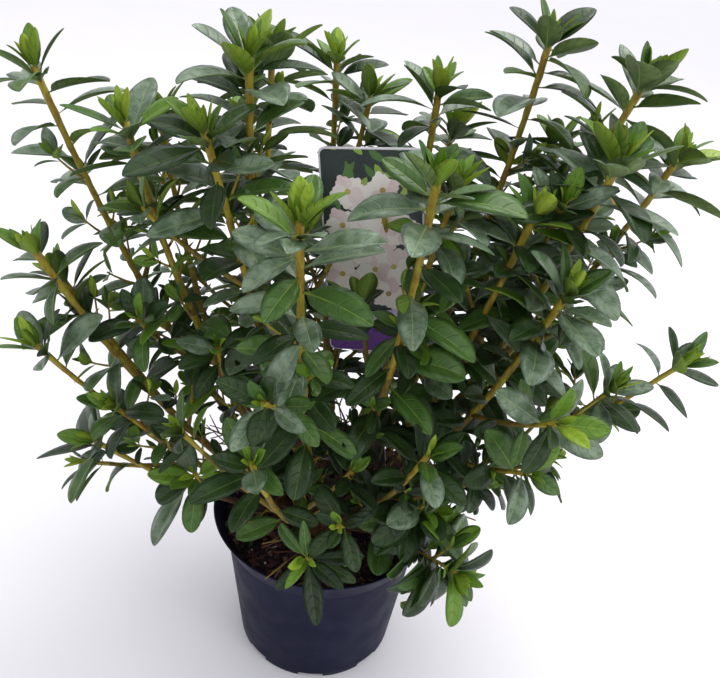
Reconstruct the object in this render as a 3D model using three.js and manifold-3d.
// A young azalea shrub in a round nursery pot, with a plain plant label standing in the soil.
// Millimetres, +Z up. The origin is the centre of the pot's flat underside.
//
// The shrub is a clump of stout stems that spread from one woody stool. Each bough is bare below and passes into a
// mass of foliage: a leading shoot, sometimes a twin, and short side shoots, all ending in whorls of leaves.

import * as THREE from "three";
import { mergeVertices } from "three/addons/utils/BufferGeometryUtils.js";
import Module from "manifold-3d";

const wasm = await Module();
wasm.setup();

// ---- Driving dimensions -------------------------------------------------------------------------

const CLEARANCE = 0.3; // between two pieces that touch on the real plant
const FINEST_EDGE = 0.03; // shorter edges of a cut or joined solid are smoothed out
const SLIVER = 0.007; // no face is thinner than this, and no two corners are closer
const ROLLS = [0, 7, 14, 21, 28]; // degrees that a stem's section may turn where it would leave a sliver

const POT_HEIGHT = 170;
const POT_BASE_RADIUS = 83;
const POT_RIM_RADIUS = 112.5;
const POT_WALL = 2;
const POT_FLOOR = 8;
const COLLAR_DEPTH = 28; // the flared band below the rim
const COLLAR_RADIUS = 100.5;
const COLLAR_STEP = 1.6; // the little ledge under the band
const POT_SEGMENTS = 48;
const NOTCH_COUNT = 8; // drain notches in the foot
const NOTCH_WIDTH = 27;
const NOTCH_HEIGHT = 6;
const NOTCH_DEPTH = 18;

const SOIL_LEVEL = 152;
const SOIL_LUMP = 4; // height of the crumbs and bark bits
const SOIL_FLAT_RADIUS = 44; // level round the stool's foot
const SOIL_SEGMENTS = POT_SEGMENTS / 2; // so that its corners line up with the pot's

const STOOL_FOOT_RADIUS = 38;
const STOOL_HEIGHT = 26;
const STOOL_SEGMENTS = 24;

const LABEL_WIDTH = 86;
const LABEL_HEIGHT = 188;
const LABEL_THICKNESS = 1.2;
const LABEL_CORNER = 5;
const LABEL_CENTRE = new THREE.Vector3(25, 6, 450);
const LABEL_LEAN = -7; // degrees, its top towards -X
const LABEL_TURN = -9; // degrees round the vertical, its right side towards the front
const STAKE_WIDTH = 11;
const STAKE_DEPTH = 32; // in the soil

const BOUGH_RADIUS = 4.6; // at the stool
const BRANCH_RADIUS = 3.9; // where a bough leaves another bough
const SHOOT_RADIUS = 2.6; // at a leading shoot's tip
const SIDE_RADIUS = 1.7; // at a side shoot's tip
const BOUGH_SIDES = 6;
const BOUGH_RINGS = 4;
const STEM_SIDES = 4;
const STEM_RINGS = 3;
const TWIG_SIDES = 3;
const LIMB_SINK = 9; // of a limb's foot below the stool's surface
const LEAVING_LEAN = 13; // degrees that a stem leaves the stool further out than its tip lies
const BARE_SHARE = 0.36; // of a limb's length, before its mass of foliage
const BEND_REACH = 0.45; // share of the chord that a limb keeps to the direction it leaves in
const SIDE_SHOOT_FOOT_RADIUS = 2.3;
const SIDE_SHOOT_LEAN = 48; // degrees from its limb
const SIDE_SHOOT_LENGTH = [78, 104]; // shortest and longest
const SIDE_SHOOT_RISE = 0.2; // share of its length that it bends up by

const LEAF_LENGTH = 60;
const LEAF_WIDTH = 0.46; // share of the length
const LEAF_WIDEST = 0.58; // share of the length, from the foot
const LEAF_THICKNESS = 1.1;
const LEAF_RISE = 0.05; // share of the length that the widest place lies above the foot
const LEAF_SINK = 1.4; // of a leaf's foot into its stem
const GOLDEN_ANGLE = 137.508;
const SPACE_OVERLAP = 36; // how far a leaf may lean over the border with the next mass
const SIDE_LEAF_SIZE = 0.8; // share of the size on a leading shoot
const LEAF_CLEARANCE = 0.4; // between the leaves of two masses
const LEAF_SWINGS = [0, 5, -5, 28, -28]; // degrees that a leaf may turn aside to clear another mass

// A whorl at a shoot's tip: tilt is measured from the shoot's axis, and length is a share of LEAF_LENGTH.
const WHORL = [
  { count: 5, tilt: 78, length: 1.0, back: 7, droop: 0.25 },
  { count: 3, tilt: 34, length: 0.8, back: 2.5, droop: 0 },
];
const SIDE_WHORL = [
  { count: 4, tilt: 68, length: 1.0, back: 4, droop: 0.2 },
  { count: 1, tilt: 14, length: 0.75, back: 2.5, droop: 0 },
];
const STEM_LEAF = { tilt: 66, length: 1.05, back: 0, droop: 0.3 };

// One row for each limb that ends in a mass of foliage. A tip is its azimuth, counter-clockwise from +X in
// degrees, its reach from the pot's axis and its height above the ground. A limb grows from the stool, or from
// another bough at a share of that bough's length. A twin is a second leading shoot in the same mass. A low limb
// may have leaves from its foot (bare 0), fewer side shoots, and leaves of a smaller size.
const LIMBS = [
  { name: "left_high", tip: [173, 257, 577] },
  { name: "left_upper", tip: [187, 172, 555], twin: [165, 166, 541] },
  { name: "left_inner", tip: [211, 121, 566], from: "centre_left", at: 0.18 },
  { name: "centre_left", tip: [201, 83, 613], twin: [157, 74, 605] },
  { name: "centre_back", tip: [98, 152, 579], twin: [84, 118, 556] },
  { name: "centre_right", tip: [42, 90, 580] },
  { name: "front_tall", tip: [297, 124, 562], twin: [332, 90, 536] },
  { name: "front_centre", tip: [259, 153, 542] },
  { name: "right_top", tip: [22, 162, 628], sides: 1 },
  { name: "right_high", tip: [5, 221, 610], from: "right_upper", at: 0.2 },
  { name: "right_upper", tip: [343, 199, 572] },
  { name: "right_far", tip: [12, 286, 541], twin: [26, 200, 536] },
  { name: "right_inner", tip: [336, 150, 526], from: "right_front", at: 0.18 },
  { name: "left_out", tip: [189, 248, 451], twin: [180, 243, 409] },
  { name: "left_low", tip: [195, 252, 379], twin: [203, 197, 333] },
  { name: "right_front", tip: [331, 189, 480] },
  { name: "right_out", tip: [352, 295, 396], twin: [346, 240, 377] },
  { name: "back_right", tip: [60, 195, 520] },
  { name: "back_left", tip: [122, 208, 505], sides: 1 },
  { name: "back_far_left", tip: [147, 240, 430], twin: [160, 225, 340] },
  { name: "back_far_right", tip: [36, 249, 432], twin: [23, 238, 330] },
  { name: "back_out", tip: [90, 238, 405], twin: [108, 222, 330] },
  { name: "left_skirt", tip: [198, 214, 284], bare: 0.2, sides: 1 },
  { name: "front_left_skirt", tip: [252, 176, 360], bare: 0 },
  { name: "front_skirt", tip: [266, 150, 248], bare: 0, sides: 0, leaf: 0.7 },
  { name: "front_inner", tip: [257, 92, 272], bare: 0, sides: 0, leaf: 0.8 },
  { name: "front_right_skirt", tip: [311, 132, 270], twin: [318, 178, 236], bare: 0, sides: 0, leaf: 0.75 },
  { name: "right_skirt", tip: [331, 158, 305], twin: [344, 203, 297], bare: 0, sides: 0, leaf: 0.85 },
  { name: "front_rise", tip: [300, 152, 350], bare: 0 },
  { name: "back_skirt", tip: [68, 205, 290], bare: 0 },
];

// ---- Small helpers ------------------------------------------------------------------------------

const UP = new THREE.Vector3(0, 0, 1);
const radians = THREE.MathUtils.degToRad;

// A repeatable number from 0 to 1 for a piece and a use.
function chance(piece, use) {
  const wave = Math.sin(piece * 12.9898 + use * 78.233) * 43758.5453;
  return wave - Math.floor(wave);
}

// The same from -1 to 1.
const jitter = (piece, use) => 2 * chance(piece, use) - 1;

function cylindrical(azimuth, reach, height) {
  return new THREE.Vector3(reach * Math.cos(radians(azimuth)), reach * Math.sin(radians(azimuth)), height);
}

// A direction at an angle from a unit axis, turned round it.
function aroundAxis(axis, tilt, turn) {
  const reference = Math.abs(axis.z) > 0.9 ? new THREE.Vector3(1, 0, 0) : UP;
  const side = new THREE.Vector3().crossVectors(reference, axis);
  side.normalize().applyAxisAngle(axis, radians(turn));
  return axis.clone().multiplyScalar(Math.cos(radians(tilt))).addScaledVector(side, Math.sin(radians(tilt)));
}

function solidOf(geometry) {
  const bare = geometry.clone();
  bare.deleteAttribute("normal");
  bare.deleteAttribute("uv");
  const merged = mergeVertices(bare, 1e-4);
  const triVerts = new Uint32Array(merged.index.array);
  const vertProperties = new Float32Array(merged.attributes.position.array);
  return new wasm.Manifold(new wasm.Mesh({ numProp: 3, vertProperties, triVerts }));
}

function geometryOf(solid) {
  const mesh = solid.getMesh();
  const geometry = new THREE.BufferGeometry();
  geometry.setAttribute("position", new THREE.BufferAttribute(new Float32Array(mesh.vertProperties), 3));
  geometry.setIndex(new THREE.BufferAttribute(new Uint32Array(mesh.triVerts), 1));
  geometry.computeVertexNormals();
  return geometry;
}

// Whether a solid has no face thinner than a sliver and no two corners that all but touch, as where the edge of
// one leaf brushes another.
function isClean(solid) {
  const { vertProperties: at, triVerts, numVert, numTri } = solid.getMesh();
  const corner = (i) => new THREE.Vector3(at[3 * i], at[3 * i + 1], at[3 * i + 2]);
  const corners = Array.from({ length: numVert }, (_, i) => corner(i));
  const face = new THREE.Triangle();
  for (let i = 0; i < numTri; i++) {
    face.set(...[0, 1, 2].map((k) => corners[triVerts[3 * i + k]]));
    const longest = Math.max(face.a.distanceTo(face.b), face.b.distanceTo(face.c), face.c.distanceTo(face.a));
    if ((2 * face.getArea()) / longest < SLIVER) return false;
  }
  return corners.every((a, i) => corners.every((b, j) => j >= i || a.manhattanDistanceTo(b) > SLIVER));
}

// The largest body of a solid: a sealed hollow is filled and a loose scrap is dropped.
function largestBody(solid) {
  return solid.decompose().reduce((best, next) => (next.volume() > best.volume() ? next : best));
}

// Profile points [radius, height] turned round the vertical axis.
function turned(profile, segments) {
  const points = profile.map(([radius, height]) => new THREE.Vector2(radius, height));
  return new THREE.LatheGeometry(points, segments).rotateX(Math.PI / 2);
}

const container = new THREE.Group(); // the pot, its soil and the label
const plant = new THREE.Group(); // the stool, the boughs and the masses of foliage

function addNode(group, name, geometry, material) {
  const mesh = new THREE.Mesh(geometry, material);
  mesh.name = name;
  group.add(mesh);
  return mesh;
}

// ---- Materials ----------------------------------------------------------------------------------

const potPlastic = new THREE.MeshStandardMaterial({ color: 0x2e3040, roughness: 0.5, metalness: 0 });
const soilMatter = new THREE.MeshStandardMaterial({ color: 0x2a1a1c, roughness: 0.95, metalness: 0 });
const oldBark = new THREE.MeshStandardMaterial({ color: 0x6b4a2c, roughness: 0.85, metalness: 0 });
const stemBark = new THREE.MeshStandardMaterial({ color: 0x8f7a33, roughness: 0.7, metalness: 0 });
const leafGreen = new THREE.MeshStandardMaterial({ color: 0x3d5c38, roughness: 0.5, metalness: 0 });
const labelCard = new THREE.MeshStandardMaterial({ color: 0xd9cfd3, roughness: 0.35, metalness: 0 });

// ---- Label --------------------------------------------------------------------------------------

// The card and its stake in one upright plate, grown on every side by the clearance that a slot for it needs.
function labelPlate(grow = 0) {
  const [halfWidth, halfHeight, halfStake] = [LABEL_WIDTH / 2, LABEL_HEIGHT / 2, STAKE_WIDTH / 2 + grow];
  const stakeFoot = -(LABEL_CENTRE.z - SOIL_LEVEL + STAKE_DEPTH) / Math.cos(radians(LABEL_LEAN)) - grow;
  const card = new THREE.Shape();
  card.moveTo(halfWidth, halfHeight - LABEL_CORNER);
  card.quadraticCurveTo(halfWidth, halfHeight, halfWidth - LABEL_CORNER, halfHeight);
  card.lineTo(LABEL_CORNER - halfWidth, halfHeight);
  card.quadraticCurveTo(-halfWidth, halfHeight, -halfWidth, halfHeight - LABEL_CORNER);
  card.lineTo(-halfWidth, LABEL_CORNER - halfHeight);
  card.lineTo(LABEL_CORNER - halfWidth, -halfHeight);
  card.lineTo(-halfStake, -halfHeight - STAKE_WIDTH);
  card.lineTo(-halfStake, stakeFoot + STAKE_WIDTH);
  card.lineTo(0, stakeFoot);
  card.lineTo(halfStake, stakeFoot + STAKE_WIDTH);
  card.lineTo(halfStake, -halfHeight - STAKE_WIDTH);
  card.lineTo(halfWidth - LABEL_CORNER, -halfHeight);
  card.lineTo(halfWidth, LABEL_CORNER - halfHeight);
  const depth = LABEL_THICKNESS + 2 * grow;
  const plate = new THREE.ExtrudeGeometry(card, { depth, bevelEnabled: false, curveSegments: 3 });
  return plate.translate(0, 0, -depth / 2);
}

const label = addNode(container, "plant_label", labelPlate(), labelCard);
label.position.copy(LABEL_CENTRE);
label.rotation.set(radians(90), radians(LABEL_LEAN), radians(LABEL_TURN), "ZYX");
label.updateMatrix();

const labelSolid = (grow) => solidOf(labelPlate(grow).applyMatrix4(label.matrix));

// ---- Pot and soil -------------------------------------------------------------------------------

const WALL_SLOPE = (COLLAR_RADIUS - COLLAR_STEP - POT_BASE_RADIUS) / (POT_HEIGHT - COLLAR_DEPTH);
const LIP = 1.2; // rounding of the rim

function innerRadius(height) {
  const collarFoot = POT_HEIGHT - COLLAR_DEPTH;
  if (height < collarFoot) return POT_BASE_RADIUS - POT_WALL + WALL_SLOPE * height;
  const share = (height - collarFoot) / COLLAR_DEPTH;
  const collarInside = POT_BASE_RADIUS - POT_WALL + WALL_SLOPE * collarFoot;
  return THREE.MathUtils.lerp(collarInside, POT_RIM_RADIUS - POT_WALL, share);
}

function makePot() {
  const collarFoot = POT_HEIGHT - COLLAR_DEPTH;
  const shell = turned(
    [
      [0, 0],
      [POT_BASE_RADIUS - 2, 0],
      [POT_BASE_RADIUS, 2],
      [COLLAR_RADIUS - COLLAR_STEP, collarFoot],
      [COLLAR_RADIUS, collarFoot + COLLAR_STEP],
      [POT_RIM_RADIUS, POT_HEIGHT - LIP],
      [POT_RIM_RADIUS - POT_WALL / 2, POT_HEIGHT],
      [innerRadius(POT_HEIGHT - LIP), POT_HEIGHT - LIP],
      [innerRadius(collarFoot), collarFoot],
      [innerRadius(POT_FLOOR), POT_FLOOR],
      [0, POT_FLOOR],
    ],
    POT_SEGMENTS,
  );
  let pot = solidOf(shell);
  for (let i = 0; i < NOTCH_COUNT; i++) {
    const notch = new THREE.BoxGeometry(2 * NOTCH_DEPTH, NOTCH_WIDTH, 2 * NOTCH_HEIGHT);
    notch.translate(POT_BASE_RADIUS, 0, 0);
    notch.rotateZ(((i + 0.5) / NOTCH_COUNT) * 2 * Math.PI - Math.PI / 2 + Math.PI / NOTCH_COUNT);
    pot = pot.subtract(solidOf(notch));
  }
  return pot;
}

// Height of the soil over its mean level: lumpy, but level round the stool and along the pot's wall.
function soilLump(x, y) {
  const radius = Math.hypot(x, y);
  const edge = innerRadius(SOIL_LEVEL);
  const fromStool = THREE.MathUtils.smoothstep(radius, SOIL_FLAT_RADIUS, SOIL_FLAT_RADIUS + 20);
  const roughness = fromStool * (1 - THREE.MathUtils.smoothstep(radius, 0.88 * edge, 0.97 * edge));
  const waves = Math.sin(x * 0.13 + 1) * Math.cos(y * 0.11) + 0.6 * Math.sin(x * 0.31 - y * 0.27);
  return roughness * (SOIL_LUMP / 1.6) * waves;
}

function makeSoil() {
  const edge = innerRadius(SOIL_LEVEL) - CLEARANCE;
  const top = [1, 0.87, 0.74, 0.6, 0.45].map((share) => [share * edge, SOIL_LEVEL]);
  const foot = POT_FLOOR + CLEARANCE;
  const collarFoot = POT_HEIGHT - COLLAR_DEPTH;
  const plug = turned(
    [
      [0, foot],
      [innerRadius(foot) - CLEARANCE, foot],
      [innerRadius(collarFoot) - CLEARANCE, collarFoot],
      ...top,
      [0, SOIL_LEVEL],
    ],
    SOIL_SEGMENTS,
  );
  const place = plug.attributes.position;
  for (let i = 0; i < place.count; i++) {
    if (place.getZ(i) > SOIL_LEVEL - 1e-3) place.setZ(i, SOIL_LEVEL + soilLump(place.getX(i), place.getY(i)));
  }
  return solidOf(plug).subtract(labelSolid(CLEARANCE));
}

const pot = makePot();
const soil = makeSoil();
addNode(container, "nursery_pot", geometryOf(pot), potPlastic);
addNode(container, "potting_soil", geometryOf(soil), soilMatter);

// ---- Stool: the woody root crown that every stem leaves -----------------------------------------

function stoolProfile(grow) {
  const foot = SOIL_LEVEL + CLEARANCE - grow;
  const shape = [
    [1, 0],
    [0.93, 0.16],
    [0.83, 0.45],
    [0.66, 0.76],
    [0.36, 0.95],
  ].map(([radius, height]) => [radius * STOOL_FOOT_RADIUS + grow, foot + height * STOOL_HEIGHT + grow]);
  shape[0][1] = foot;
  return [[0, foot], ...shape, [0, foot + STOOL_HEIGHT + grow]];
}

const stool = solidOf(turned(stoolProfile(0), STOOL_SEGMENTS));
const stoolRoom = solidOf(turned(stoolProfile(CLEARANCE), STOOL_SEGMENTS));
addNode(plant, "stool", geometryOf(stool), oldBark);

// ---- Limbs --------------------------------------------------------------------------------------

// A closed tapering tube on a curve between two shares of its length.
function limbGeometry(curve, from, to, radiusAt, sides, rings, roll = 0) {
  const points = [];
  const index = [];
  const reference = aroundAxis(curve.getTangent(0.5), 90, 0);
  for (let ring = 0; ring <= rings; ring++) {
    const share = THREE.MathUtils.lerp(from, to, ring / rings);
    const centre = curve.getPoint(share);
    const tangent = curve.getTangent(share);
    const across = new THREE.Vector3().crossVectors(tangent, reference).normalize();
    const along = new THREE.Vector3().crossVectors(across, tangent);
    for (let side = 0; side < sides; side++) {
      const angle = (side / sides) * 2 * Math.PI + radians(roll);
      const spot = centre.clone();
      spot.addScaledVector(along, radiusAt(share) * Math.cos(angle));
      spot.addScaledVector(across, radiusAt(share) * Math.sin(angle));
      points.push(spot);
    }
  }
  const lastRing = rings * sides;
  for (let side = 0; side < sides; side++) {
    const next = (side + 1) % sides;
    for (let ring = 0; ring < rings; ring++) {
      const [a, b] = [ring * sides + side, ring * sides + next];
      index.push(a, b, a + sides, b, b + sides, a + sides);
    }
    if (side > 0 && next > 0) {
      index.push(0, next, side);
      index.push(lastRing, lastRing + side, lastRing + next);
    }
  }
  const geometry = new THREE.BufferGeometry().setFromPoints(points);
  geometry.setIndex(index);
  return geometry;
}

// A curve that leaves its start along a direction and bends to its tip.
function bendTo(start, direction, tip) {
  const control = start.clone().addScaledVector(direction, BEND_REACH * start.distanceTo(tip));
  return new THREE.QuadraticBezierCurve3(start, control, tip);
}

// Where each stem leaves the stool: upright stems near the middle, low ones at the edge, pushed apart until
// none crowds the next.
function stoolFeet(limbs) {
  const spacing = 2 * BOUGH_RADIUS + 1.4;
  const feet = limbs.map(({ tip: [azimuth, reach, height] }) => {
    const lean = Math.atan2(reach, height - SOIL_LEVEL) / (Math.PI / 2);
    return cylindrical(azimuth, STOOL_FOOT_RADIUS * (0.3 + 0.55 * lean), 0);
  });
  for (let round = 0; round < 200; round++) {
    feet.forEach((a, i) =>
      feet.slice(i + 1).forEach((b) => {
        const apart = a.distanceTo(b);
        if (apart >= spacing) return;
        const push = new THREE.Vector3().subVectors(a, b).setLength((spacing - apart) / 2);
        a.add(push);
        b.sub(push);
      }),
    );
    feet.forEach((foot) => foot.clampLength(0, STOOL_FOOT_RADIUS * 0.8));
  }
  return feet;
}

// The stool's surface over a point, less what the stem is sunk by.
function stoolTop(foot) {
  const share = foot.length() / STOOL_FOOT_RADIUS;
  return SOIL_LEVEL + STOOL_HEIGHT * Math.sqrt(Math.max(1 - share * share, 0.1)) - LIMB_SINK;
}

function growLimbs() {
  const limbs = new Map();
  const born = LIMBS.filter((row) => !row.from);
  const feet = stoolFeet(born);
  born.forEach((row, i) => {
    const tip = cylindrical(...row.tip);
    const start = new THREE.Vector3(feet[i].x, feet[i].y, stoolTop(feet[i]));
    const away = new THREE.Vector3().subVectors(tip, start);
    const lean = Math.atan2(Math.hypot(away.x, away.y), away.z) + radians(LEAVING_LEAN);
    const bearing = THREE.MathUtils.radToDeg(Math.atan2(away.y, away.x));
    const direction = cylindrical(bearing, Math.sin(lean), Math.cos(lean));
    limbs.set(row.name, { row, curve: bendTo(start, direction, tip), foot: BOUGH_RADIUS });
  });
  for (const row of LIMBS.filter((each) => each.from)) {
    const parent = limbs.get(row.from);
    const tip = cylindrical(...row.tip);
    const start = parent.curve.getPoint(row.at);
    const away = new THREE.Vector3().subVectors(tip, start).normalize();
    const direction = parent.curve.getTangent(row.at).lerp(away, 0.8).normalize();
    limbs.set(row.name, { row, curve: bendTo(start, direction, tip), foot: BRANCH_RADIUS, parent });
  }
  for (const limb of limbs.values()) {
    limb.bare = limb.row.bare ?? BARE_SHARE;
    limb.radiusAt = (share) => THREE.MathUtils.lerp(limb.foot, SHOOT_RADIUS, share);
  }
  return limbs;
}

const limbs = growLimbs();

function boughSolid(limb, grow = 0, roll = 0) {
  const radiusAt = (share) => limb.radiusAt(share) + grow;
  return solidOf(limbGeometry(limb.curve, 0, limb.bare, radiusAt, BOUGH_SIDES, BOUGH_RINGS, roll));
}

// What a limb grows from, enlarged by the clearance, is cut from the limb: that leaves the two just apart.
function cutFromParent(limb, solid) {
  if (!limb.parent) return solid.subtract(stoolRoom).simplify(FINEST_EDGE);
  const [parentShoot] = shootsOf(limb.parent, 0);
  const room = boughSolid(limb.parent, CLEARANCE).add(shootSolid(parentShoot, CLEARANCE));
  return largestBody(solid.subtract(room).simplify(FINEST_EDGE));
}

for (const limb of limbs.values()) {
  if (!limb.bare) continue;
  limb.bough = ROLLS.map((roll) => cutFromParent(limb, boughSolid(limb, 0, roll))).find(isClean);
  addNode(plant, "bough_" + limb.row.name, geometryOf(limb.bough), stemBark);
}

// ---- Masses of foliage --------------------------------------------------------------------------

// The shoots of one mass: its leading shoot, its twin, and side shoots by a seeded rule.
function shootsOf(limb, number) {
  const gap = CLEARANCE / limb.curve.getLength();
  const { twin, leaf: leafSize = 1 } = limb.row;
  const leading = { whorl: WHORL, sides: STEM_SIDES, rings: STEM_RINGS, stemLeaves: twin ? 3 : 4, leafSize };
  const from = limb.bare ? limb.bare + gap : 0;
  const shoots = [{ ...leading, curve: limb.curve, from, radiusAt: limb.radiusAt }];
  if (twin) {
    const fork = Math.max(limb.bare + 0.1, 0.34);
    const tip = cylindrical(...twin);
    const start = limb.curve.getPoint(fork);
    const away = new THREE.Vector3().subVectors(tip, start).normalize();
    const direction = limb.curve.getTangent(fork).lerp(away, 0.6).normalize();
    const radiusAt = (share) => THREE.MathUtils.lerp(limb.radiusAt(fork) * 0.9, SHOOT_RADIUS * 0.92, share);
    shoots.push({ ...leading, curve: bendTo(start, direction, tip), from: 0, radiusAt });
  }
  const sideCount = limb.row.sides ?? (twin ? 1 : 2);
  for (let i = 0; i < sideCount; i++) {
    const piece = number * 10 + i;
    const at = Math.max(limb.bare, 0.3) + 0.08 + 0.14 * i + 0.05 * chance(piece, 1);
    const start = limb.curve.getPoint(at);
    const turn = i * GOLDEN_ANGLE + 360 * chance(number, 2);
    const direction = aroundAxis(limb.curve.getTangent(at), SIDE_SHOOT_LEAN, turn);
    const length = THREE.MathUtils.lerp(...SIDE_SHOOT_LENGTH, chance(piece, 3));
    const tip = start.clone().addScaledVector(direction, length);
    tip.addScaledVector(UP, SIDE_SHOOT_RISE * length);
    const radiusAt = (share) => THREE.MathUtils.lerp(SIDE_SHOOT_FOOT_RADIUS, SIDE_RADIUS, share);
    const small = { whorl: SIDE_WHORL, sides: TWIG_SIDES, rings: 1, stemLeaves: 0, side: true };
    small.leafSize = leafSize * SIDE_LEAF_SIZE;
    shoots.push({ ...small, curve: bendTo(start, direction, tip), from: 0, radiusAt });
  }
  return shoots;
}

// A leaf as a thin arched blade of six faces, with a ridge along its upper side and a fold where it is widest.
function leafSolid(leaf, grow = 0) {
  const { foot, direction, upper, length } = leaf;
  const across = new THREE.Vector3().crossVectors(upper, direction);
  const spot = (along, side, rise) => {
    const point = foot.clone().addScaledVector(direction, along * length);
    return point.addScaledVector(across, side).addScaledVector(upper, rise);
  };
  const half = (LEAF_WIDTH / 2) * length * leaf.breadth + grow;
  const drop = -leaf.arch * length;
  const rise = LEAF_RISE * length;
  const corners = [
    spot(0, 0, 0),
    spot(LEAF_WIDEST, half, rise - grow),
    spot(1, 0, drop).addScaledVector(direction, grow),
    spot(LEAF_WIDEST, -half, rise - grow),
    spot(LEAF_WIDEST, 0, rise + LEAF_THICKNESS + grow),
  ];
  const geometry = new THREE.BufferGeometry().setFromPoints(corners);
  geometry.setIndex([0, 4, 1, 1, 4, 2, 2, 4, 3, 3, 4, 0, 0, 1, 3, 1, 2, 3]);
  return solidOf(geometry);
}

// A point on the straight stretches between a shoot's rings, where its solid lies.
function spineAt(shoot, share) {
  const step = ((share - shoot.from) / (1 - shoot.from)) * shoot.rings;
  const ring = Math.min(Math.floor(step), shoot.rings - 1);
  const ringAt = (number) => shoot.curve.getPoint(THREE.MathUtils.lerp(shoot.from, 1, number / shoot.rings));
  return ringAt(ring).lerp(ringAt(ring + 1), step - ring);
}

function leafAt({ shoot, piece, share, back, tilt, turn, length, droop }, swing) {
  const axis = shoot.curve.getTangent(share);
  const bearing = turn + swing + 12 * jitter(piece, 5);
  const foot = spineAt(shoot, share).addScaledVector(axis, -back);
  foot.addScaledVector(aroundAxis(axis, 90, bearing), Math.max(shoot.radiusAt(share) - LEAF_SINK, 0));
  const direction = aroundAxis(axis, tilt + 7 * jitter(piece, 4), bearing);
  direction.addScaledVector(UP, -droop).normalize();
  const upper = axis.clone().addScaledVector(direction, -axis.dot(direction)).normalize();
  const reach = length * shoot.leafSize * LEAF_LENGTH * (1 + 0.12 * jitter(piece, 6));
  const [breadth, arch] = [1 + 0.12 * jitter(piece, 7), 0.05 + 0.25 * droop];
  return { foot, direction, upper, length: reach, breadth, arch };
}

// Where the leaves of a shoot grow: a whorl at its tip, then a few down its upper part.
function leafPlaces(shoot, number) {
  const places = [];
  shoot.whorl.forEach((tier, level) => {
    for (let i = 0; i < tier.count; i++) {
      const turn = (360 * i) / tier.count + level * 51 + number * 31;
      places.push({ ...tier, shoot, piece: number * 40 + 10 * (level + 1) + i, share: 1, turn });
    }
  });
  const bare = Math.max(shoot.from, 0.3);
  for (let i = 0; i < shoot.stemLeaves; i++) {
    const share = THREE.MathUtils.lerp(bare, 0.92, (i + 0.4) / shoot.stemLeaves);
    places.push({ ...STEM_LEAF, shoot, piece: number * 40 + i, share, turn: i * GOLDEN_ANGLE + number * 77 });
  }
  return places;
}

// Points along a mass's shoots, which say what space is its own.
function axisPoints(shoots) {
  return shoots.flatMap(({ curve, from }) => curve.getPoints(10).filter((_, i) => i / 10 >= from));
}

const nearest = (points, spot) => Math.min(...points.map((point) => point.distanceTo(spot)));

function boxesMeet(a, b) {
  return a.min.every((low, i) => low < b.max[i] && b.min[i] < a.max[i]);
}

const placed = []; // every solid that stands, with its box and the mass that it belongs to
function place(solid, owner) {
  placed.push({ solid, owner, box: solid.boundingBox() });
}

function touches(solid, owner) {
  const box = solid.boundingBox();
  return placed.some((other) => {
    if (other.owner === owner || !boxesMeet(box, other.box)) return false;
    return !solid.intersect(other.solid).isEmpty();
  });
}

const masses = LIMBS.map(({ name }, i) => {
  const limb = limbs.get(name);
  return { name, limb, shoots: shootsOf(limb, i) };
});
masses.forEach((mass) => (mass.axis = axisPoints(mass.shoots)));

place(pot, "nursery_pot");
place(soil, "potting_soil");
place(stool, "stool");
place(labelSolid(0), "plant_label");
for (const limb of limbs.values()) if (limb.bough) place(limb.bough, "bough_" + limb.row.name);

function shootSolid({ curve, from, radiusAt, sides, rings }, grow = 0, roll = 0) {
  return solidOf(limbGeometry(curve, from, 1, (share) => radiusAt(share) + grow, sides, rings, roll));
}

// Joins a piece to a mass. Of several tries at the piece, the first that leaves no sliver is kept.
function join(mass, tries, make) {
  for (const attempt of tries) {
    const piece = make(attempt);
    if (!piece) continue;
    const grown = mass.solid ? mass.solid.add(piece).simplify(FINEST_EDGE) : piece;
    if (!isClean(grown)) continue;
    mass.solid = grown;
    place(piece, mass.name);
    return true;
  }
  return false;
}

// Stems first, so that no leaf takes a stem's room. A side shoot that would touch another limb is skipped.
for (const mass of masses) {
  mass.shoots = mass.shoots.filter((shoot, i) => {
    if (shoot.side && touches(shootSolid(shoot, 0.5), mass.name)) return false;
    const leavesStool = i === 0 && !mass.limb.bare;
    return join(mass, ROLLS, (roll) => {
      const stem = shootSolid(shoot, 0, roll);
      return leavesStool ? cutFromParent(mass.limb, stem) : stem;
    });
  });
}

function ownSpace(mass, spot) {
  const away = nearest(mass.axis, spot);
  return masses.every((other) => other === mass || away < nearest(other.axis, spot) + SPACE_OVERLAP);
}

// Grows a leaf, turned aside where it would touch another mass, and skips it where no turn is free.
function growLeaf(mass, leafPlace) {
  join(mass, LEAF_SWINGS, (swing) => {
    const leaf = leafAt(leafPlace, swing);
    const tip = leaf.foot.clone().addScaledVector(leaf.direction, leaf.length);
    if (!ownSpace(mass, tip) || touches(leafSolid(leaf, LEAF_CLEARANCE), mass.name)) return null;
    return leafSolid(leaf);
  });
}

// The whorls grow before the leaves below them, so that every tip has its whorl.
masses.forEach((mass, i) => {
  mass.places = mass.shoots.flatMap((shoot, j) => leafPlaces(shoot, i * 5 + j));
});
for (const atTip of [true, false]) {
  for (const mass of masses) {
    const now = mass.places.filter(({ share }) => (share === 1) === atTip);
    now.forEach((leafPlace) => growLeaf(mass, leafPlace));
  }
}
for (const mass of masses) {
  addNode(plant, "mass_" + mass.name, geometryOf(largestBody(mass.solid)), leafGreen);
}

const shrub = new THREE.Group();
shrub.name = "azalea_shrub";
shrub.add(container, plant);

export default shrub;
